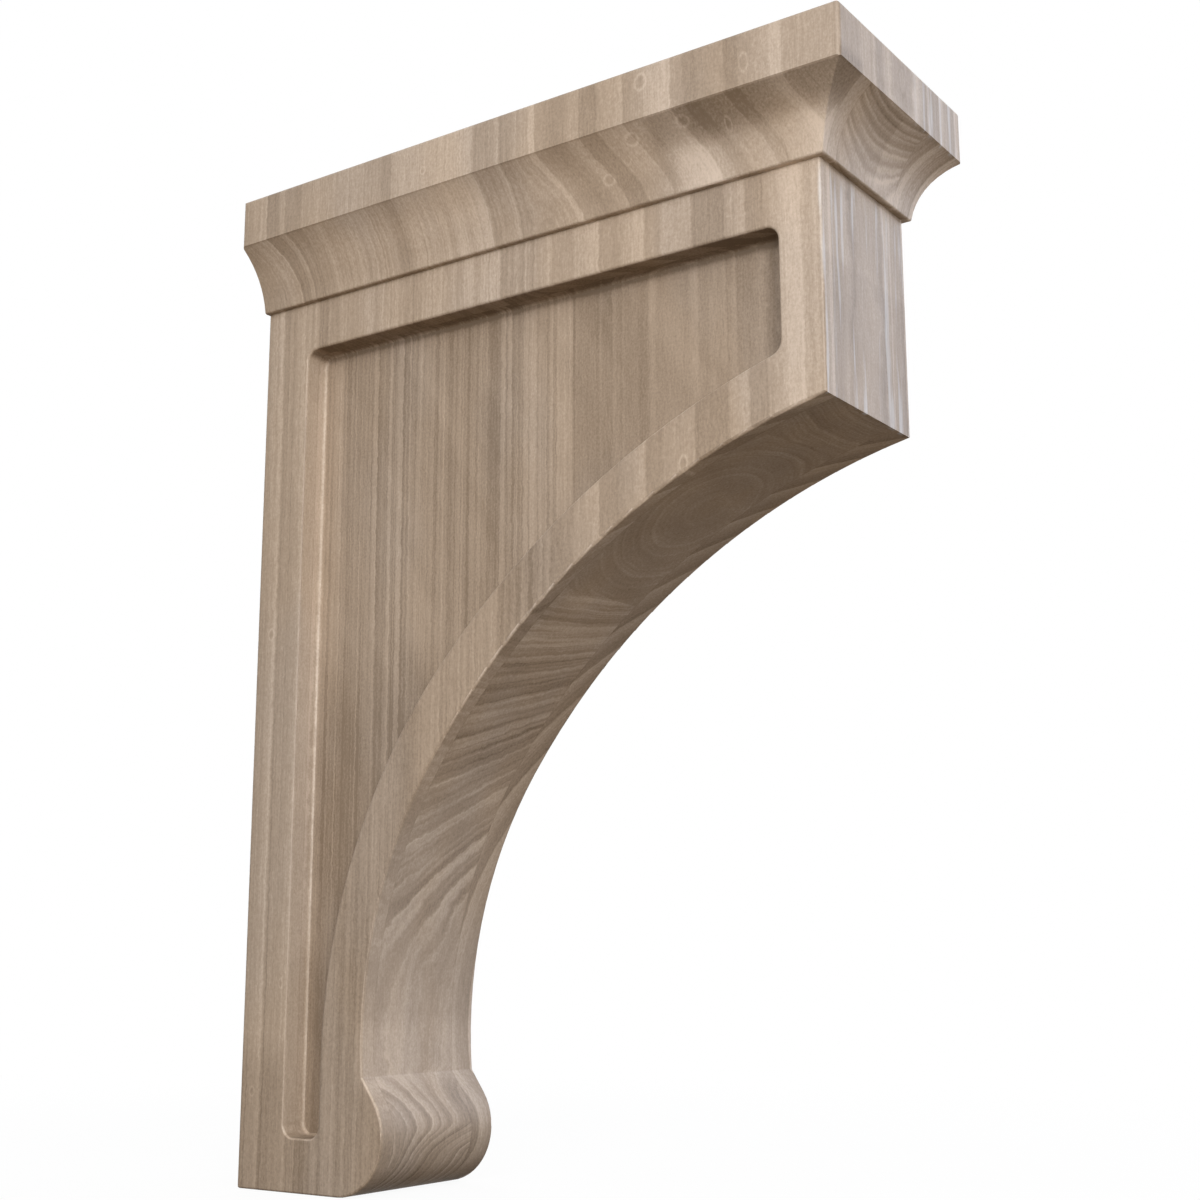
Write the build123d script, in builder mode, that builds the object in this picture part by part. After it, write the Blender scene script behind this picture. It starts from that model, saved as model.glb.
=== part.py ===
from build123d import *
from math import acos, asin, atan2, degrees
import os

# A wooden shelf bracket, carved from one block of hardwood.
# The wall plane is X = 0, the shelf plane is Z = 0, and Y = 0 is the middle of the width.
# It reaches out from the wall along +X and hangs down along -Z. Lengths are in millimetres.

# The block, as planed before it is shaped
bracket_width = 63.5
bracket_depth = 177.8
bracket_height = 254.0

# Crown: a flat fascia over a cove and a small step, on the sides and the front; its back end is plain
fascia_height = 12.8
cove_inset = 9.4
cove_height = 16.0
cove_radius = 23.0
step_inset = 1.6

# Web: a straight nose at the front, then a long arc that tightens into a shorter one down to the neck,
# which is the narrowest place, at its own rise above the foot
nose_height = 53.4
neck_depth = 39.6
neck_rise = 37.5
neck_radius = 111.0
neck_sweep = 35.0

# Toe: the rolled bead at the foot, and its straight shoulder, which meets the neck in a notch
toe_radius = 13.9
toe_reach = 46.6
notch_rise = 27.4
notch_ease = 0.5

# Recessed panel on each side: its depth, the rim that is left around it, and the arc along its neck
recess_depth = 7.0
back_rim = 14.8
top_rim = 13.1
front_rim = 10.9
nose_rim = 11.5
neck_rim = 13.2
bottom_rim = 12.7
panel_neck_rise = 31.1
panel_neck_radius = 139.0
panel_neck_sweep = 42.0
cutter_radius = 3.2

# Edges broken by the cutters and by sanding
crown_ease = 1.0
lip_ease = 0.6
outline_ease = 0.6
rim_ease = 0.7
floor_ease = 1.0

# Worked out from the sizes above
crown_height = fascia_height + cove_height
body_width = bracket_width - 2 * (cove_inset + step_inset)
body_depth = bracket_depth - cove_inset - step_inset
nose = Vector(body_depth, -crown_height - nose_height)
toe_centre = Vector(toe_reach - toe_radius, toe_radius - bracket_height)
panel_top = -crown_height - top_rim
panel_bottom = bottom_rim - bracket_height
panel_nose = Vector(body_depth - front_rim, nose.Y + nose_rim)


def crown_section(reach):
    """The crown from its middle out to this reach: fascia above, cove below."""
    with BuildSketch() as section:
        with BuildLine():
            Polyline((0, -crown_height), (0, 0), (reach, 0), (reach, -fascia_height))
            RadiusArc((reach, -fascia_height), (reach - cove_inset, -crown_height), -cove_radius)
            Line((reach - cove_inset, -crown_height), (0, -crown_height))
        make_face()
    return section.sketch


# The web's outline as seen from the side: from the notch up to the nose, and round by the wall to the toe
with BuildSketch() as web_outline:
    with BuildLine():
        neck_centre = Vector(neck_depth + neck_radius, neck_rise - bracket_height)
        notch_sweep = degrees(asin((neck_rise - notch_rise) / neck_radius))
        neck_arc = CenterArc(neck_centre, neck_radius, 180 + notch_sweep, -notch_sweep - neck_sweep)
        TangentArc(neck_arc @ 1, nose, tangent=neck_arc % 1)
        Polyline(nose, (nose.X, -fascia_height), (0, -fascia_height), (0, -bracket_height))
        Line((0, -bracket_height), (toe_centre.X, -bracket_height))
        # The bead ends where the shoulder leaves it, straight towards the notch
        to_notch = neck_arc @ 0 - toe_centre
        bead_end = degrees(atan2(to_notch.Y, to_notch.X) - acos(toe_radius / to_notch.length))
        bead = CenterArc(toe_centre, toe_radius, -90, 90 + bead_end)
        Line(bead @ 1, neck_arc @ 0)
    make_face()
    fillet(web_outline.vertices().sort_by_distance(neck_arc @ 0)[0], notch_ease)

# The panel's outline: straight at the wall, the crown, the nose and the neck, with two arcs between
with BuildSketch() as panel_outline:
    with BuildLine():
        panel_centre = Vector(neck_depth - neck_rim + panel_neck_radius, panel_neck_rise - bracket_height)
        panel_arc = CenterArc(panel_centre, panel_neck_radius, 180, -panel_neck_sweep)
        TangentArc(panel_arc @ 1, panel_nose, tangent=panel_arc % 1)
        Polyline(panel_nose, (panel_nose.X, panel_top), (back_rim, panel_top), (back_rim, panel_bottom))
        Polyline((back_rim, panel_bottom), (neck_depth - neck_rim, panel_bottom), panel_arc @ 0)
    make_face()
    corners = panel_outline.vertices().group_by(Axis.Y)[-1] + panel_outline.vertices().group_by(Axis.Y)[0]
    fillet(corners, cutter_radius)
    fillet(panel_outline.vertices().sort_by_distance(panel_nose)[0], cutter_radius)

# The crown is the moulding run along both sides, then cut to the same moulding across the front
with BuildPart() as crown:
    with BuildSketch(Plane.YZ):
        add(crown_section(bracket_width / 2))
        mirror(about=Plane.YZ)
    extrude(amount=bracket_depth)
    with BuildSketch(Plane.XZ):
        add(crown_section(bracket_depth))
    extrude(amount=bracket_width / 2, both=True, mode=Mode.INTERSECT)
    # The top edges and the upright corners of the fascia are eased; the top edge at the wall stays square
    around_top = crown.faces().sort_by(Axis.Z)[-1].edges().sort_by(Axis.X)[1:]
    fillet(around_top + crown.edges().filter_by(Axis.Z), crown_ease)
    # The lip under the cove, apart from its back end
    fillet(crown.faces().sort_by(Axis.Z)[0].edges().sort_by(Axis.X)[1:], lip_ease)

# The web stands up into the crown, and its outline is eased on both sides
with BuildPart() as web:
    with BuildSketch(Plane.XZ):
        add(web_outline.sketch)
    extrude(amount=body_width / 2, both=True)
    outline = web.faces().filter_by(Axis.Y).edges().sort_by(Axis.Z)[:-2]
    foot = web.edges().filter_by(Axis.Y).sort_by_distance((0, 0, -bracket_height))[0]
    fillet(outline + [foot], outline_ease)

# One piece: the crown and the web, with a panel sunk into each side
with BuildPart() as bracket:
    add(crown.part)
    add(web.part)
    for side in (1, -1):
        with BuildSketch(Plane.XZ.offset(side * body_width / 2)):
            add(panel_outline.sketch)
        extrude(amount=-side * recess_depth, mode=Mode.SUBTRACT)
    # Upright faces in order from the middle outwards: the panel floors, the web's sides, the fascia
    floors = bracket.faces().filter_by(Axis.Y).group_by(lambda face: abs(face.center().Y))[0]
    fillet(floors.edges(), floor_ease)
    cheeks = bracket.faces().filter_by(Axis.Y).group_by(lambda face: abs(face.center().Y))[1]
    fillet([edge for face in cheeks for edge in face.inner_wires()[0].edges()], rim_ease)

os.makedirs("parts", exist_ok=True)
bracket.part.label = "bracket"
export_step(bracket.part, "parts/bracket.step")
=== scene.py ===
import math

import bpy
from mathutils import Matrix, Vector


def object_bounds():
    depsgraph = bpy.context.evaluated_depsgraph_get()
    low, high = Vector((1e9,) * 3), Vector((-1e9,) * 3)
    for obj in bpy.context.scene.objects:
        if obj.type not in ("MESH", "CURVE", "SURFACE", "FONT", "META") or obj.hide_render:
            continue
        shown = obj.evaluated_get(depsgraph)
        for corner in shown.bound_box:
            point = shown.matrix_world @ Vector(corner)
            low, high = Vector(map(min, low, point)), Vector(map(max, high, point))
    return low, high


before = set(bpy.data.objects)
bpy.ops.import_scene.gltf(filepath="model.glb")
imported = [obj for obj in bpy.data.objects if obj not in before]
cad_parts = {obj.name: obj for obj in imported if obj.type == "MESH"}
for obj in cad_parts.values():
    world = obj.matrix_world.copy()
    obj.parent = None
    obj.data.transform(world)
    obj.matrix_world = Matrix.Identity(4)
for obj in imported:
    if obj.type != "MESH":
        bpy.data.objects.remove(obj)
cad_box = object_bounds()
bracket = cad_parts["bracket"]

# Faces of the bracket, in millimetres: from the wall (X), from the middle (Y) and from the shelf (Z). The
# near side has the fascia's face, the cheek below it and the floor of the panel that is sunk into the cheek.
MILLIMETRES = 1000.0
CROWN_OVERHANG = 11.0
PANEL_DEPTH = 7.0
CROWN_FOOT = -28.8
FASCIA_FACE = MILLIMETRES * cad_box[0][1]
CHEEK_FACE = FASCIA_FACE + CROWN_OVERHANG
PANEL_FLOOR = CHEEK_FACE + PANEL_DEPTH
FASCIA_FRONT = MILLIMETRES * cad_box[1][0]
NOSE_FRONT = FASCIA_FRONT - CROWN_OVERHANG

# The blank is glued up from boards: a near one, a far one, and a core of two between them, one at the back and
# one at the front. The near and far joints are places along Y, and the core's own joint is a place along X.
NEAR_JOINT = -16.4
FAR_JOINT = 12.5
CORE_JOINT = 96.0

# Colours of the wood, from its darkest rings to its lightest, and how many steps of tone lie between them
DARK = (0.185, 0.132, 0.088)
MIDDLE = (0.348, 0.266, 0.195)
LIGHT = (0.560, 0.449, 0.352)
TONE_STEPS = 60.0

# A cooler cast that some of the wood has, and the pale colour of a painted highlight: streaks painted where
# the finish would catch the light
COOLER = (0.975, 1.0, 1.045)
PAINTED_SHEEN_COLOUR = (0.60, 0.61, 0.64)

# The boards' rings, on the fascia's face, on the cheek and on the panel's floor: how far from the wall each
# one starts, and its tone at its start and at its end, in steps from the middle tone. Most end light and
# give way to a dark one within a short edge.
RING_EDGE = 0.35
FASCIA_RINGS = (
    (0.0, -8, 5), (9.6, -14, -11), (14.2, 1, 2), (16.2, -10, -9), (22.0, -4, 0), (27.0, 0, 3),
    (45.0, -2, -3), (49.8, -9, -8), (53.0, 3, 9), (60.0, 8, 11), (78.6, -5, -5), (85.6, 6, 6),
    (86.8, -8, -6), (90.0, -1, 5), (95.8, 11, 10), (97.7, -3, -12), (104.5, -11, -6), (107.4, -2, 0),
    (110.6, -14, -14), (116.0, -4, 5), (123.2, -8, 4), (129.0, 8, 17), (136.2, 0, -5), (139.6, -12, -13),
    (143.4, -8, -2), (150.0, -13, -13), (153.6, -6, 9), (161.4, 14, 15), (164.2, 2, 2), (180.0, 2, 2),
)
CHEEK_RINGS = (
    (0.0, -8, 6), (6.7, -10, -3), (12.0, 2, 6), (16.0, 0, 0), (19.0, -13, -13), (22.4, -5, 0),
    (37.0, 0, 4), (45.6, -2, -3), (50.0, -5, -9), (52.8, -1, 9), (61.0, 4, 7), (79.4, -4, -7),
    (83.4, -3, -3), (84.8, -9, -9), (86.6, -2, -2), (88.2, -12, -12), (89.6, -3, 4), (95.0, -4, -3),
    (101.0, 2, 13), (108.6, -3, -1), (114.6, 3, 14), (121.4, -3, -3), (126.0, 3, 1), (134.4, -14, -14),
    (143.2, -2, 9), (148.3, -9, -9), (153.2, -4, 12), (158.0, 17, 19), (162.2, 8, 4), (165.0, 8, 8),
    (180.0, 8, 8),
)
CORE_RINGS = (
    (-30.0, -6, 8), (-24.0, -8, 8), (-17.0, -7, 9), (-9.0, -8, 8), (-3.0, -9, 6), (1.5, -8, 9),
    (6.2, -6, 10), (11.4, -7, 8), (17.0, 0, 6), (22.6, -3, 1), (28.7, -9, 8), (34.2, -6, 6),
    (36.9, -7, 13), (39.2, -7, 10), (42.9, -9, 5), (45.4, -7, 4), (46.9, -5, 10), (49.4, -7, 4),
    (52.3, -6, 2), (54.0, -5, 6), (56.6, -9, 2), (60.0, -7, 5), (63.8, -9, 3), (67.8, -4, 4),
    (70.2, -9, 2), (75.8, -7, 5), (77.6, -6, 4), (79.6, 2, 9), (84.6, 3, 10), (88.2, 0, 6),
    (92.2, 0, 9), (95.4, -3, 1), (98.0, -2, 2), (110.0, 0, 0),
)

# The heart of the tree, along X and Y, lies in the core's front board, whose rings are told by how far they
# are from it. Their contrast grows and fades about a tone of their own.
HEART = (124.5, 0.3)
HEART_TONE = 0.44
HEART_RINGS = (
    (0.0, -8, -4), (6.4, -9, 0), (8.4, -6, -1), (12.2, 3, 5), (13.2, -7, -4), (15.0, 4, 5),
    (15.8, -6, -2), (19.6, 1, 2), (20.2, -6, -3), (21.4, 4, 6), (22.2, -7, -4), (24.6, 2, 3),
    (25.2, -6, -2), (30.6, 4, 5), (31.3, -8, -6), (36.0, -5, 4), (39.4, -7, 5), (40.6, -8, 7),
    (42.2, -6, 7), (43.4, -8, 5), (44.4, -9, 8), (45.8, -7, 6), (46.8, -9, 7), (48.2, -8, 8),
    (49.2, -9, 6), (50.6, -7, 9), (52.0, -8, 3), (60.0, -6, 0),
)

# The far board has bands that are all alike: how wide they are, and their tone from side to side
FAR_BAND = 11.5
FAR_BAND_TONES = ((0.0, -14), (0.30, -8), (0.62, 3), (0.94, 12), (1.0, -14))

# Stretches that are darker or lighter than the rings say: limits along X, Y and Z, how softly they end
# along X and Z, and the change of tone in steps. The first table's show only on faces that look to the side.
# Some in the second table are painted shade and painted highlight, each noted where it stands.
SIDE_STRETCHES = (
    (27.0, 96.0, -21.6, -20.2, -260.0, -105.0, 22.0, -9),
    (27.0, 60.0, -21.6, -20.2, -260.0, -180.0, 30.0, -5),
    (84.0, 130.0, -21.6, -20.2, -120.0, -75.0, 14.0, -7),
    (-5.0, 24.0, -21.6, -20.2, -260.0, -222.0, 12.0, -11),
    (-5.0, 96.0, -15.0, -13.0, -260.0, -30.0, 6.0, -11),
    (10.0, 60.0, -15.0, -13.0, -260.0, -130.0, 30.0, -13),
    (96.0, 180.0, -15.0, -13.0, -260.0, -30.0, 0.6, -9),
    (96.0, 118.0, -15.0, -13.0, -260.0, -30.0, 1.0, -5),
)
STRETCHES_WITH_PAINTED_LIGHT = (
    # Painted shade: the top of the cove at the front end, under the fascia, darker
    (128.0, 180.0, -31.4, -20.9, -18.5, -10.0, 4.0, -17),
    (132.0, 180.0, -31.4, -20.9, -34.0, -20.5, 4.0, 14),
    (-5.0, 128.0, -31.4, -20.9, -22.0, -10.0, 6.0, 8),
    # Painted shade: a band at the top of the sunk panel, under its top wall, darker
    (10.0, 157.0, -20.4, -13.0, -43.4, -40.0, 1.4, -20),
    # Painted highlight: the toe's up-facing shoulder lighter
    (38.0, 52.0, -21.6, 21.6, -229.0, -214.0, 6.0, 11),
    # Painted shade: the lower, down-facing part of the toe darker
    (20.0, 52.0, -20.3, 21.6, -260.0, -240.0, 8.0, -10),
    # Painted light: the sunk panel's back wall, which faces forward to the lamps, lighter
    (14.0, 15.8, -20.2, -14.6, -238.0, -43.0, 0.8, 8),
    (168.0, 180.0, 2.0, 31.0, -29.0, -13.5, 2.0, 10),
    (176.5, 180.0, -31.9, -8.0, -13.0, 1.0, 1.0, -8),
    (166.0, 168.0, -21.0, 21.0, -84.0, -50.0, 1.0, -5),
)
STRETCH_SOFT_ALONG_Y = 0.4

# Small eyes in the near board's grain: place along X and Z, half-width and half-height. The one on the
# front of the fascia has its place along Y and Z.
FASCIA_EYES = ((127.5, -4.0, 1.5, 2.0), (154.5, -7.5, 1.1, 2.2), (63.0, -8.0, 0.8, 1.0))
COVE_EYES = (
    (114.0, -21.5, 1.5, 1.1), (123.0, -15.6, 1.7, 1.1), (137.0, -15.2, 1.5, 1.0), (147.5, -18.0, 0.8, 1.4),
)
CHEEK_EYES = (
    (5.0, -117.0, 0.9, 1.5), (4.0, -231.0, 0.8, 1.1), (131.0, -92.0, 1.0, 1.8), (12.6, -205.0, 0.6, 1.2),
)
FRONT_EYE = (-0.5, -5.5, 1.8, 3.6)

# The floor: how wide it is in metres, its colour to the eye, and its colour for the light it throws back
FLOOR_SIZE = 6.0
FLOOR_SEEN = (0.90, 0.90, 0.90)
FLOOR_BOUNCE = (0.21, 0.165, 0.115)

# By the part, this much of what the eye sees of the floor is white light, and where the fade ends it is all
# white. The fade's distances are in metres from the frame's origin.
FADE_BY_PART = 0.94
FADE_START = 0.12
FADE_END = 0.45

# The lamps: where they look, how wide each is for its distance, and their colours
MIDDLE_OF_PART = (Vector(cad_box[0]) + Vector(cad_box[1])) / 2
BOX_WIDTH_TO_DISTANCE = 0.75
WHITE = (1.0, 1.0, 1.0)
SKY_BLUE = (0.84, 0.95, 1.20)

# The camera, fitted to the photograph: its place in metres, its axes and its lens
CAMERA_PLACE = (0.32820, -0.33756, -0.19981)
RIGHT = Vector((0.821463, 0.570258, -0.002193))
UP = Vector((0.117063, -0.164864, 0.979345))
BACK = Vector((0.558117, -0.804752, -0.202185))
SENSOR = 36.0
PHOTO_WIDTH = 1200
FOCAL_PIXELS = 1747.8


class Nodes:
    """Small helpers that write a node tree as if it were arithmetic."""

    def __init__(self, tree):
        self.tree = tree
        self.tree.nodes.clear()

    def new(self, kind, **values):
        node = self.tree.nodes.new(kind)
        for name, value in values.items():
            setattr(node, name, value)
        return node

    def put(self, socket, value):
        """Links an output to a socket, or gives it a number or a colour. None leaves it as it is."""
        if isinstance(value, bpy.types.NodeSocket):
            self.tree.links.new(value, socket)
        elif isinstance(value, tuple):
            socket.default_value = (*value, 1.0)
        elif value is not None:
            socket.default_value = value

    def fill(self, node, *values):
        """Puts values into a node's inputs in order, and gives its first output."""
        for socket, value in zip(node.inputs, values):
            self.put(socket, value)
        return node.outputs[0]

    def math(self, operation, a, b=None, c=None):
        return self.fill(self.new("ShaderNodeMath", operation=operation), a, b, c)

    def add(self, a, b):
        return self.math("ADD", a, b)

    def sub(self, a, b):
        return self.math("SUBTRACT", a, b)

    def mul(self, a, b):
        return self.math("MULTIPLY", a, b)

    def fma(self, a, b, c):
        """a times b, plus c."""
        return self.math("MULTIPLY_ADD", a, b, c)

    def absolute(self, value):
        return self.math("ABSOLUTE", value)

    def above(self, value, edge):
        """1 where the value is above the edge, and 0 elsewhere."""
        return self.math("GREATER_THAN", value, edge)

    def straight(self, value, low, high, out_low=0.0, out_high=1.0):
        """Runs from out_low to out_high as the value goes from low to high, and is level outside them."""
        return self.fill(self.new("ShaderNodeMapRange"), value, low, high, out_low, out_high)

    def smooth(self, value, low, high, out_low=0.0, out_high=1.0):
        """Like straight, but it eases in and out."""
        node = self.new("ShaderNodeMapRange", interpolation_type="SMOOTHSTEP")
        return self.fill(node, value, low, high, out_low, out_high)

    def between(self, value, low, high, soft):
        """1 between two places and 0 outside them, over this softness."""
        rise = self.smooth(value, low - soft / 2, low + soft / 2)
        return self.mul(rise, self.smooth(value, high + soft / 2, high - soft / 2))

    def mix(self, factor, a, b):
        """a where the factor is 0, and b where it is 1."""
        node = self.new("ShaderNodeMix", data_type="FLOAT")
        self.put(node.inputs[0], factor)
        self.put(node.inputs[2], a)
        self.put(node.inputs[3], b)
        return node.outputs[0]

    def mix_colour(self, factor, a, b, blend="MIX"):
        node = self.new("ShaderNodeMix", data_type="RGBA", blend_type=blend)
        self.put(node.inputs[0], factor)
        self.put(node.inputs[6], a)
        self.put(node.inputs[7], b)
        return node.outputs[2]

    def vector(self, x, y, z):
        return self.fill(self.new("ShaderNodeCombineXYZ"), x, y, z)

    def parts(self, vector):
        """The X, Y and Z of a vector."""
        node = self.new("ShaderNodeSeparateXYZ")
        self.put(node.inputs[0], vector)
        return node.outputs

    def length(self, vector):
        node = self.new("ShaderNodeVectorMath", operation="LENGTH")
        self.put(node.inputs[0], vector)
        return node.outputs["Value"]

    def noise(self, x, y, z, detail=2.0, roughness=0.5):
        """Noise from 0 to 1 about 0.5, read at these coordinates."""
        node = self.new("ShaderNodeTexNoise", noise_dimensions="3D")
        self.put(node.inputs["Vector"], self.vector(x, y, z))
        node.inputs["Scale"].default_value = 1.0
        node.inputs["Detail"].default_value = detail
        node.inputs["Roughness"].default_value = roughness
        return node.outputs["Fac"]

    def curve(self, value, stops):
        """A tone that runs straight from one stop to the next. A stop is a place and its tone in steps."""
        node = self.new("ShaderNodeFloatCurve")
        points = node.mapping.curves[0].points
        low, high = stops[0][0], stops[-1][0]
        places = [((place - low) / (high - low), 0.5 + tone / TONE_STEPS) for place, tone in stops]
        for place in places[1:-1]:
            points.new(*place)
        for point, place in zip(points, places):
            point.location = place
            point.handle_type = "VECTOR"
        node.mapping.update()
        self.put(node.inputs["Value"], self.straight(value, low, high))
        return node.outputs[0]

    def rings(self, place, table):
        """The tone at a place in a table of rings. Two curves share the table, to keep its edges sharp."""
        stops = []
        for (start, tone, last), after in zip(table, table[1:]):
            stops += [(start, tone), (after[0] - RING_EDGE, last)]
        stops.append(table[-1][:2])
        half = len(stops) // 2
        lower = self.curve(place, stops[:half + 1])
        upper = self.curve(place, stops[half:])
        return self.mix(self.above(place, stops[half][0]), lower, upper)

    def output(self, kind, shader):
        """Sends a shader to the output of a material or of the world."""
        self.put(self.new(kind).inputs["Surface"], shader)


class Wood(Nodes):
    """The bracket's wood. Places are in millimetres, and tones run from 0, dark, to 1, light."""

    def __init__(self, tree):
        super().__init__(tree)
        place = self.parts(self.new("ShaderNodeTexCoord").outputs["Object"])
        self.x, self.y, self.z = (self.mul(socket, MILLIMETRES) for socket in place)
        facing = self.parts(self.new("ShaderNodeTexCoord").outputs["Normal"])
        self.upward = facing[2]
        self.sideward = self.absolute(facing[1])
        self.is_near = self.above(NEAR_JOINT, self.y)
        self.is_far = self.above(self.y, FAR_JOINT)
        self.is_core = self.sub(1.0, self.add(self.is_near, self.is_far))
        self.is_front = self.mul(self.above(self.x, CORE_JOINT), self.is_core)
        self.on_side = self.above(self.sideward, 0.9)
        # The cheek, and all that lies deeper than it
        self.on_cheek = self.above(self.y, CHEEK_FACE - 1.3)
        self.across = self.wander()

    def noise_here(self, across, scales, detail=2.0, roughness=0.5):
        """Noise from 0 to 1, where the scales say how fine it is across the rings, in depth and in height."""
        places = [self.mul(place, scale) for place, scale in zip((across, self.y, self.z), scales)]
        return self.noise(*places, detail, roughness)

    def grain(self, across, scales, detail=2.0, roughness=0.5):
        """The same noise, from -0.5 to 0.5."""
        return self.sub(self.noise_here(across, scales, detail, roughness), 0.5)

    def wander(self):
        """The place across the rings, which aren't quite straight."""
        # They drift along the board, and their edges are ragged, though less so on the front face
        drift = self.mul(self.grain(self.x, (0.010, 0.012, 0.0060), detail=1.0), 2.4)
        ragged = self.mul(self.grain(self.x, (0.30, 0.30, 0.45), roughness=0.6), 1.1)
        ragged = self.mul(ragged, self.smooth(self.x, 160.0, 168.0, 1.0, 0.35))
        # Inside the core they wave from side to side near the wall and at the front, which gives arched
        # figure on the faces cut there. They hardly do at the foot or on the cove at the front.
        inside = self.smooth(self.y, PANEL_FLOOR, PANEL_FLOOR + 9.0)
        inside = self.mul(inside, self.smooth(self.y, FAR_JOINT + 12.0, FAR_JOINT))
        by_wall = self.smooth(self.x, 50.0, 42.0, 0.8, 4.5)
        at_front = self.smooth(self.x, 138.0, 148.0, 0.0, 3.0)
        above_foot = self.smooth(self.z, -238.0, -224.0, 0.1, 1.0)
        front_cove = self.mul(self.smooth(self.x, 142.0, 150.0), self.smooth(self.z, -60.0, -45.0))
        swing = self.mul(self.add(by_wall, at_front), above_foot)
        swing = self.mul(swing, self.fma(front_cove, -0.8, 1.0))
        wave = self.mul(self.mul(self.grain(self.x, (0.020, 0.060, 0.035)), swing), inside)
        return self.add(self.x, self.add(self.add(drift, ragged), wave))

    def near_board(self):
        """The near board's place among its rings, and its tone there."""
        # On the fascia the rings slant with depth at the front, and lean the same way at the wall
        depth = self.sub(self.y, FASCIA_FACE)
        slant = self.mul(self.mul(depth, self.fma(depth, 0.081, 0.10)), self.smooth(self.x, 88.0, 98.0))
        lean = self.mul(self.mul(depth, 0.60), self.smooth(self.x, 26.0, 12.0))
        fascia = self.sub(self.across, self.add(slant, lean))
        # On the cheek they slant at the front alone
        depth = self.sub(self.y, CHEEK_FACE)
        cheek = self.sub(self.across, self.mul(depth, self.smooth(self.x, 84.0, 100.0, 0.0, 1.6)))
        tone = self.mix(self.on_cheek, self.rings(fascia, FASCIA_RINGS), self.rings(cheek, CHEEK_RINGS))
        return self.mix(self.on_cheek, fascia, cheek), tone

    def back_board(self):
        """The core's back board: narrow rings, nearly square to the sides, that fan out with depth."""
        depth = self.sub(self.y, PANEL_FLOOR)
        fan = self.math("MINIMUM", self.fma(self.sub(CORE_JOINT, self.x), 0.0075, 0.03), 0.25)
        in_toe = self.mul(self.smooth(self.z, -224.0, -234.0), self.smooth(self.x, 12.0, 24.0))
        toe_fan = self.smooth(self.z, -238.0, -246.0, 0.60, 1.50)
        ring = self.sub(self.across, self.mul(depth, self.mix(in_toe, fan, toe_fan)))
        ring = self.sub(ring, self.mul(self.mul(depth, depth), 0.0027))
        # They are strong on the face under the arch and on the toe, and faint on the neck
        under_arch = self.between(self.z, -190.0, -120.0, 16.0)
        on_toe = self.smooth(self.z, -226.0, -234.0)
        on_neck = self.between(self.z, -226.0, -194.0, 12.0)
        strong = self.mul(self.add(under_arch, on_toe), self.sub(1.0, self.on_side))
        contrast = self.add(1.0, self.sub(self.mul(strong, 0.8), self.mul(on_neck, 0.5)))
        return ring, self.fma(self.sub(self.rings(ring, CORE_RINGS), 0.5), contrast, 0.5)

    def front_board(self):
        """The core's front board: rings round the heart of the tree, and open curves at the very front."""
        heart_x, heart_y = HEART
        heart = self.length(self.vector(self.sub(self.across, heart_x), self.sub(self.y, heart_y), 0.0))
        curves = self.fma(self.mul(self.y, self.y), -0.0085, self.sub(self.across, 126.0))
        ring = self.mix(self.smooth(self.x, 142.0, 156.0), heart, curves)
        # They stand out on the cove at the front, and fade below
        contrast = self.smooth(self.z, -75.0, -30.0, 0.55, 1.3)
        return ring, self.fma(self.sub(self.rings(ring, HEART_RINGS), HEART_TONE), contrast, HEART_TONE)

    def far_board(self):
        """The far board, which slants the other way."""
        ring = self.sub(self.across, self.mul(self.sub(self.y, FAR_JOINT), 1.3))
        band = self.math("FRACT", self.mul(self.add(ring, 3.0), 1.0 / FAR_BAND))
        return ring, self.curve(band, FAR_BAND_TONES)

    def boards(self):
        """The place among the rings of the board that is here, and its tone."""
        ring, tone = self.back_board()
        others = (
            (self.is_front, self.front_board()),
            (self.is_near, self.near_board()),
            (self.is_far, self.far_board()),
        )
        for mask, (board_ring, board_tone) in others:
            ring = self.mix(mask, ring, board_ring)
            tone = self.mix(mask, tone, board_tone)
        return ring, tone

    def add_lines(self, tone, ring, lines):
        """Fine straight lines along the grain, strong towards the wall and weak among the wide rings."""
        among_wide = self.smooth(self.mix(self.is_near, self.x, ring), 92.0, 97.0)
        narrow_strength = self.mix(self.is_near, 0.45, 0.60)
        wide_strength = self.mix(self.is_near, self.smooth(self.x, 140.0, 150.0, 0.22, 0.7), 0.25)
        tone = self.fma(lines, self.mix(among_wide, narrow_strength, wide_strength), tone)
        # The core's narrow rings are crisper, above all higher up
        crisp = self.noise_here(ring, (1.05, 0.02, 0.004), detail=1.0)
        crisp = self.smooth(crisp, 0.44, 0.56, -0.5, 0.5)
        strength = self.mul(self.is_core, self.smooth(self.x, 98.0, 95.0))
        strength = self.mul(strength, self.smooth(self.z, -200.0, -165.0, 0.07, 0.17))
        return self.fma(crisp, strength, tone)

    def add_texture(self, tone, fibre):
        """Fibres and pores, a fine mottle, clouds, and soft slanting bands, strong in the core."""
        mottle = self.grain(self.x, (1.9, 1.9, 1.5), roughness=0.6)
        cloud = self.grain(self.x, (0.05, 0.06, 0.02), detail=3.0)
        over = self.mul(self.fma(self.x, 1.7, self.z), 0.055)
        along = self.mul(self.fma(self.z, -1.7, self.x), 0.010)
        slanting = self.sub(self.noise(over, self.mul(self.y, 0.05), along), 0.5)
        for pattern, strength in ((fibre, 0.36), (mottle, 0.52), (cloud, 0.22)):
            tone = self.fma(pattern, strength, tone)
        return self.fma(slanting, self.mix(self.is_core, 0.10, 0.38), tone)

    def oval(self, u, v, eye):
        """How far a place is from the middle of an eye, which is 1 on its outline."""
        middle_u, middle_v, half_width, half_height = eye
        u = self.mul(self.sub(u, middle_u), 1.0 / half_width)
        v = self.mul(self.sub(v, middle_v), 1.0 / half_height)
        return self.length(self.vector(u, v, 0.0))

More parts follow.
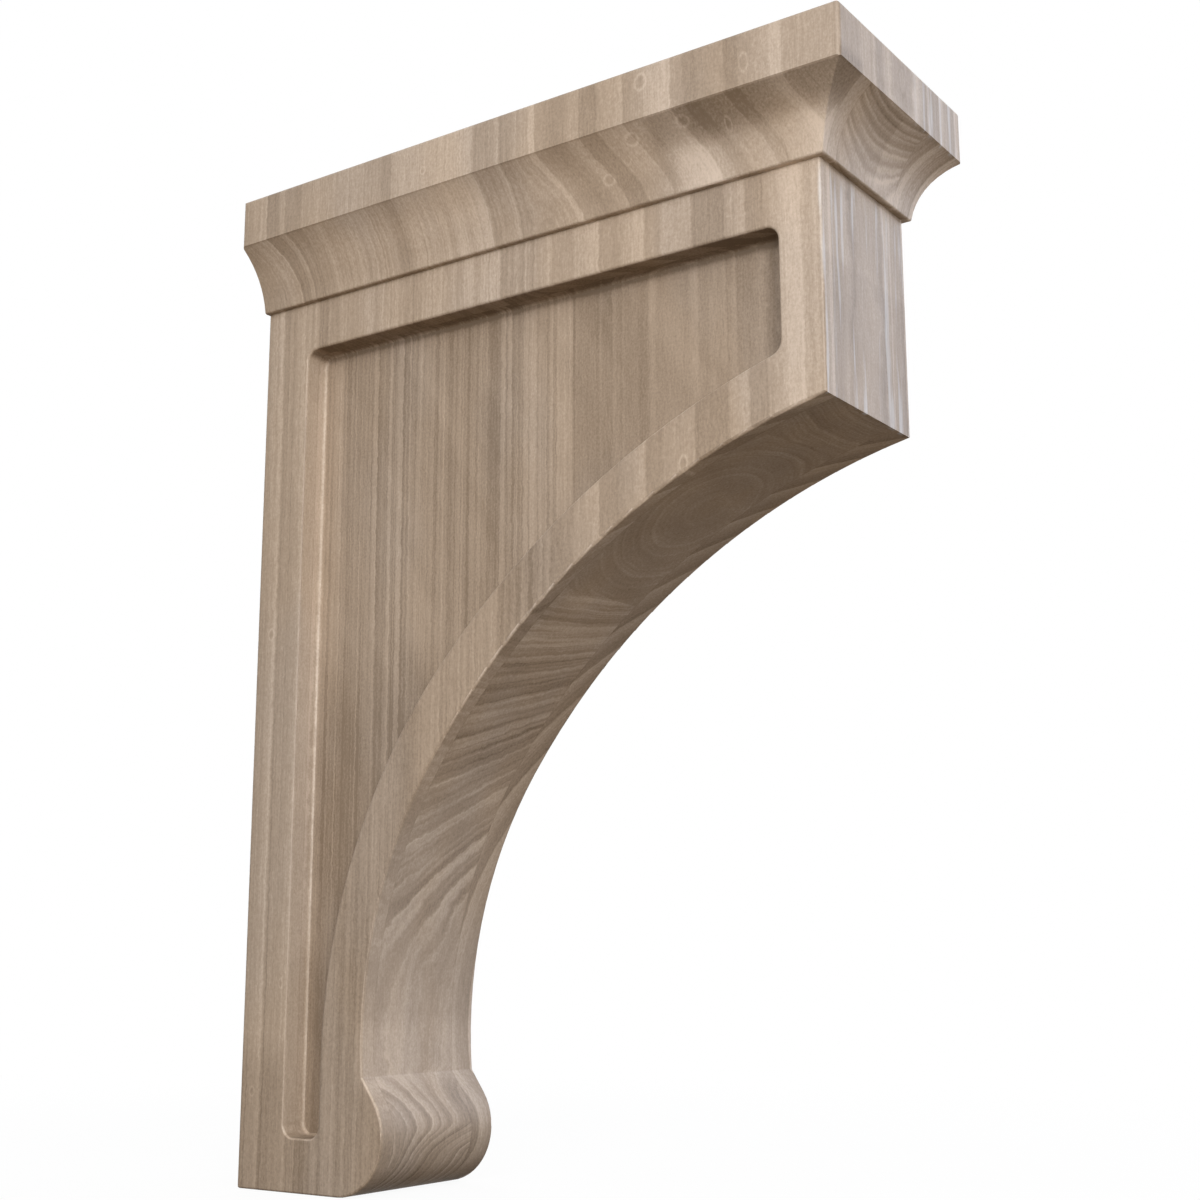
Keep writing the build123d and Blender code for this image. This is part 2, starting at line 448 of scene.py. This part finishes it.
    def add_eyes(self, tone):
        """Small eyes: a light rim round a darker middle, or a dark rim on the front of the fascia."""
        on_fascia = self.above(FASCIA_FACE + 1.5, self.y)
        on_cove = self.above(-14.0, self.z)
        for eyes, there in ((FASCIA_EYES, on_fascia), (CHEEK_EYES, self.on_cheek), (COVE_EYES, on_cove)):
            for eye in eyes:
                oval = self.oval(self.x, self.z, eye)
                rim = self.smooth(self.absolute(self.sub(oval, 1.0)), 0.32, 0.05, 0.0, 0.16)
                mark = self.sub(rim, self.smooth(oval, 0.8, 0.4, 0.0, 0.08))
                tone = self.fma(self.mul(mark, self.is_near), there, tone)
        oval = self.oval(self.y, self.z, FRONT_EYE)
        rim = self.smooth(self.absolute(self.sub(oval, 1.0)), 0.30, 0.05, 0.0, 0.12)
        return self.sub(tone, self.mul(rim, self.above(self.x, FASCIA_FRONT - 1.8)))

    def add_painted_edge_light(self, tone):
        """Painted light and shade on the cheek's rounded edges below its top rail: a painted highlight on the
        upper sides and painted shade on the lower ones.
        """
        edge = self.mul(self.between(self.sideward, 0.30, 0.97, 0.1),
                        self.between(self.y, CHEEK_FACE, CHEEK_FACE + 0.8, 0.2))
        edge = self.mul(edge, self.above(-60.0, self.z))
        return self.fma(edge, self.smooth(self.upward, -0.2, 0.6, -0.22, 0.20), tone)

    def add_glue(self, tone):
        """The glue between the boards, which shows as a hair line."""
        to_near = self.absolute(self.sub(self.y, NEAR_JOINT))
        to_far = self.absolute(self.sub(self.y, FAR_JOINT))
        return self.sub(tone, self.smooth(self.math("MINIMUM", to_near, to_far), 0.25, 0.05, 0.0, 0.12))

    def add_stretches_and_painted_light(self, tone):
        """The stretches that are darker or lighter than the rings say, among them painted shade and painted
        highlight.
        """
        for stretches, mask in ((SIDE_STRETCHES, self.on_side), (STRETCHES_WITH_PAINTED_LIGHT, 1.0)):
            for x_low, x_high, y_low, y_high, z_low, z_high, soft, change in stretches:
                there = self.mul(self.between(self.x, x_low, x_high, soft),
                                 self.between(self.z, z_low, z_high, soft))
                there = self.mul(there, self.between(self.y, y_low, y_high, STRETCH_SOFT_ALONG_Y))
                tone = self.fma(self.mul(there, mask), change / TONE_STEPS, tone)
        return tone

    def colour(self, tone):
        """The colour of a tone, with a cooler cast here and there."""
        colour = self.mix_colour(self.straight(tone, 0.0, 0.5), DARK, MIDDLE)
        colour = self.mix_colour(self.straight(tone, 0.5, 1.0), colour, LIGHT)
        cast = self.smooth(self.noise_here(self.x, (0.030, 0.04, 0.012)), 0.40, 0.60)
        return self.mix_colour(cast, colour, self.mix_colour(1.0, colour, COOLER, "MULTIPLY"))

    def add_painted_sheen(self, colour):
        """Painted highlight: pale streaks painted into the colour where the finish on the nose and at the end
        of the front fascia catches the light.
        """
        x, y, z = self.mul(self.x, 0.05), self.fma(self.y, 0.42, 3.0), self.mul(self.z, 0.022)
        sheen_streak = self.noise(x, y, z, detail=3.0, roughness=0.6)
        on_nose = self.mul(self.smooth(self.x, NOSE_FRONT - 1.0, NOSE_FRONT - 0.2),
                           self.smooth(self.z, CROWN_FOOT + 0.8, CROWN_FOOT - 5.2))
        on_fascia = self.mul(self.smooth(self.x, FASCIA_FRONT - 0.8, FASCIA_FRONT - 0.2),
                             self.smooth(self.y, 2.0, 14.0))
        sheen_streak = self.mul(self.smooth(sheen_streak, 0.50, 0.68), self.add(on_nose, on_fascia))
        return self.mix_colour(self.mul(sheen_streak, 0.5), colour, PAINTED_SHEEN_COLOUR)


def hardwood():
    """One block glued up from boards, each with its own rings, so that every cut face shows them."""
    material = bpy.data.materials.new("hardwood_satin")
    material.use_nodes = True
    wood = Wood(material.node_tree)
    ring, tone = wood.boards()
    lines = wood.grain(ring, (1.15, 0.03, 0.005), roughness=0.65)
    fibre = wood.grain(wood.across, (2.2, 1.6, 0.16), roughness=0.6)
    tone = wood.add_lines(tone, ring, lines)
    tone = wood.add_texture(tone, fibre)
    # Among these marks, the cheek's edges and some of the stretches are painted light and painted shade
    for mark in (wood.add_eyes, wood.add_painted_edge_light, wood.add_glue, wood.add_stretches_and_painted_light):
        tone = mark(tone)

    bump = wood.new("ShaderNodeBump")
    bump.inputs["Strength"].default_value = 0.30
    bump.inputs["Distance"].default_value = 0.0003
    wood.put(bump.inputs["Height"], wood.add(wood.mul(fibre, 0.6), wood.mul(lines, 0.5)))

    shader = wood.new("ShaderNodeBsdfPrincipled")
    # The base colour carries the painted highlight streaks
    wood.put(shader.inputs["Base Color"], wood.add_painted_sheen(wood.colour(tone)))
    wood.put(shader.inputs["Roughness"], wood.straight(fibre, -0.3, 0.3, 0.54, 0.42))
    wood.put(shader.inputs["Normal"], bump.outputs[0])
    # Undersides are duller than the other faces
    wood.put(shader.inputs["Specular IOR Level"], wood.smooth(wood.upward, -0.75, -0.05, 0.02, 0.42))
    wood.output("ShaderNodeOutputMaterial", shader.outputs[0])
    return material


def seen_directly(n):
    """1 for what the camera sees, straight, in a gloss or through glass, and 0 for what lights the part."""
    path = n.new("ShaderNodeLightPath")
    in_gloss_or_glass = n.math("MAXIMUM", path.outputs["Is Glossy Ray"], path.outputs["Is Transmission Ray"])
    return n.math("MAXIMUM", path.outputs["Is Camera Ray"], in_gloss_or_glass)


def pale_floor():
    """Pale to the eye, with the part's shadow on it, and darker and warmer in the light it throws back."""
    material = bpy.data.materials.new("pale_floor")
    material.use_nodes = True
    n = Nodes(material.node_tree)
    seen = seen_directly(n)
    matt = n.new("ShaderNodeBsdfDiffuse")
    n.put(matt.inputs["Color"], n.mix_colour(seen, FLOOR_BOUNCE, FLOOR_SEEN))
    white = n.new("ShaderNodeEmission")
    white.inputs["Strength"].default_value = 1.0
    # Most of what the eye sees of it is white light, and further out it is all white
    away = n.length(n.new("ShaderNodeTexCoord").outputs["Object"])
    fade = n.mul(seen, n.smooth(away, FADE_START, FADE_END, FADE_BY_PART, 1.0))
    blend = n.fill(n.new("ShaderNodeMixShader"), fade, matt.outputs[0], white.outputs[0])
    n.output("ShaderNodeOutputMaterial", blend)
    return material


def studio():
    """The world: white behind the part, and soft light that comes mostly from above."""
    world = bpy.data.worlds.new("studio")
    world.use_nodes = True
    n = Nodes(world.node_tree)
    height = n.parts(n.new("ShaderNodeTexCoord").outputs["Generated"])[2]
    all_round = n.smooth(height, -0.35, 0.55, 0.0, 0.125)
    overhead = n.smooth(height, 0.2, 0.9, 0.0, 0.40)
    backgrounds = []
    # First the light that reaches the part, and then the white that is seen behind it
    for strength in (n.add(all_round, overhead), 1.0):
        background = n.new("ShaderNodeBackground")
        n.put(background.inputs["Color"], WHITE)
        n.put(background.inputs["Strength"], strength)
        backgrounds.append(background.outputs[0])
    n.output("ShaderNodeOutputWorld", n.fill(n.new("ShaderNodeMixShader"), seen_directly(n), *backgrounds))
    return world


def soft_box(name, around, above, distance, power, colour=WHITE):
    """A square soft box at this many degrees around the part and above it, which looks at its middle."""
    data = bpy.data.lights.new(name, "AREA")
    data.shape = "SQUARE"
    data.size = BOX_WIDTH_TO_DISTANCE * distance
    data.energy = power
    data.color = colour
    lamp = bpy.data.objects.new(name, data)
    turn, rise = math.radians(around), math.radians(above)
    way_out = Vector((math.cos(turn) * math.cos(rise), math.sin(turn) * math.cos(rise), math.sin(rise)))
    lamp.location = MIDDLE_OF_PART + distance * way_out
    lamp.rotation_euler = (-way_out).to_track_quat("-Z", "Y").to_euler()
    bpy.context.collection.objects.link(lamp)


wood = hardwood()
for slot in bracket.material_slots:
    slot.material = wood

bpy.ops.mesh.primitive_plane_add(size=FLOOR_SIZE, location=(0.0, 0.0, cad_box[0][2]))
floor = bpy.context.object
floor.name = "floor"
floor.data.materials.append(pale_floor())

bpy.context.scene.world = studio()
soft_box("key", around=-58.0, above=8.0, distance=0.95, power=12.0)
soft_box("fill", around=-30.0, above=30.0, distance=1.3, power=3.5)
soft_box("sheen", around=64.0, above=18.0, distance=1.3, power=5.0, colour=SKY_BLUE)
soft_box("rear", around=140.0, above=12.0, distance=1.3, power=12.0)

camera_data = bpy.data.cameras.new("camera")
camera_data.sensor_width = SENSOR
camera_data.lens = SENSOR * FOCAL_PIXELS / PHOTO_WIDTH
camera_data.clip_start = 0.01
camera = bpy.data.objects.new("camera", camera_data)
bpy.context.collection.objects.link(camera)
turn = Matrix((RIGHT, UP, BACK)).transposed().to_4x4()
camera.matrix_world = Matrix.Translation(CAMERA_PLACE) @ turn
bpy.context.scene.camera = camera

bpy.context.scene.view_settings.view_transform = "Standard"
